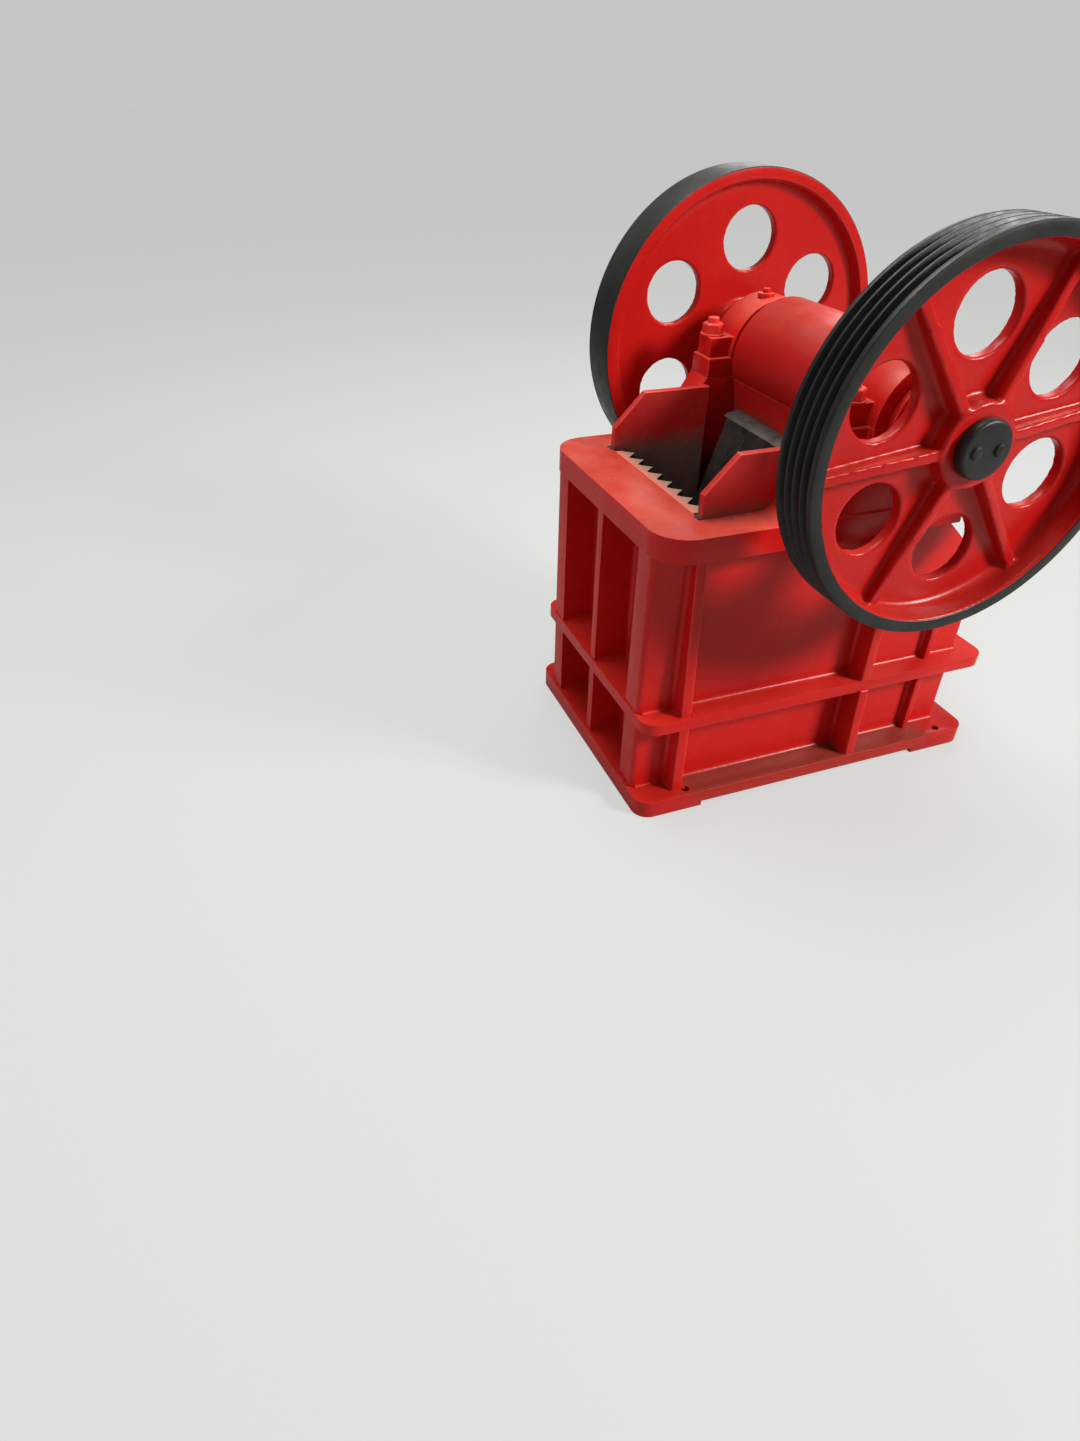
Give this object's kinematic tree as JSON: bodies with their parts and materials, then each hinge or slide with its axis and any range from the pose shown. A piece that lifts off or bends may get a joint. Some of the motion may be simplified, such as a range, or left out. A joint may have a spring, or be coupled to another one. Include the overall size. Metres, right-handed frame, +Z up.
{
  "type": "jaw crusher",
  "caption": "Small single-toggle jaw crusher with a ribbed cast frame, toothed jaws and a spoked flywheel and belt wheel on an eccentric shaft.",
  "frame": {"origin": "centre of the four foundation bolt holes, on the underside of the base flange's end pads", "axes": "+X along the shaft to the belt wheel, +Y from the feed end to the rear, +Z up"},
  "size_m": [1.1, 1.3115, 1.408],
  "materials": {
    "frame_paint": "gloss red enamel on cast steel",
    "wheel_paint": "gloss red enamel on cast iron",
    "black_paint": "satin black",
    "jaw_metal": "bare cast manganese steel with light rust",
    "bare_steel": "oiled steel",
    "spring_paint": "red paint, worn"
  },
  "bodies": {
    "frame": {"base_flange": "frame_paint", "side_wall_right": "frame_paint", "side_wall_left": "frame_paint", "front_wall": "frame_paint", "rear_wall": "frame_paint", "corner_post_right": "frame_paint", "corner_post_left": "frame_paint", "front_ribs": "frame_paint", "side_ribs_right": "frame_paint", "side_ribs_left": "frame_paint", "mid_flange": "frame_paint", "top_flange": "frame_paint", "bearing_pedestal_right": "frame_paint", "bearing_pedestal_left": "frame_paint", "bearing_housing_right": "frame_paint", "bearing_housing_left": "frame_paint", "bearing_cap_right": "frame_paint", "bearing_cap_left": "frame_paint", "bearing_cover_right": "frame_paint", "bearing_cover_left": "frame_paint", "cheek_plate_right": "frame_paint", "cheek_plate_left": "frame_paint", "fixed_jaw_plate": "jaw_metal", "toggle_block": "frame_paint", "toggle_plate": "bare_steel", "tension_rod": "bare_steel", "rod_nuts": "bare_steel", "tension_spring": "spring_paint", "spring_washer": "bare_steel", "spring_cup": "frame_paint"},
    "swing_jaw": {"pitman": "frame_paint", "rod_clevis": "frame_paint", "pitman_cover_right": "frame_paint", "pitman_cover_left": "frame_paint", "swing_jaw_plate": "jaw_metal", "jaw_wedge": "bare_steel"},
    "drive": {"eccentric_shaft": "bare_steel", "flywheel_rim": "black_paint", "flywheel_web": "wheel_paint", "belt_wheel_rim": "black_paint", "belt_wheel_web": "wheel_paint", "shaft_cap_right": "black_paint", "shaft_cap_left": "black_paint"}
  },
  "joints": [
    {"name": "shaft_spin", "type": "hinge", "parent": "frame", "child": "drive", "pos_m": [0, 0.053, 0.988], "axis": [1, 0, 0], "continuous": true},
    {"name": "jaw_swing", "type": "hinge", "parent": "frame", "child": "swing_jaw", "pos_m": [0, 0.053, 0.988], "axis": [1, 0, 0], "range_deg": [-1, 0]}
  ]
}
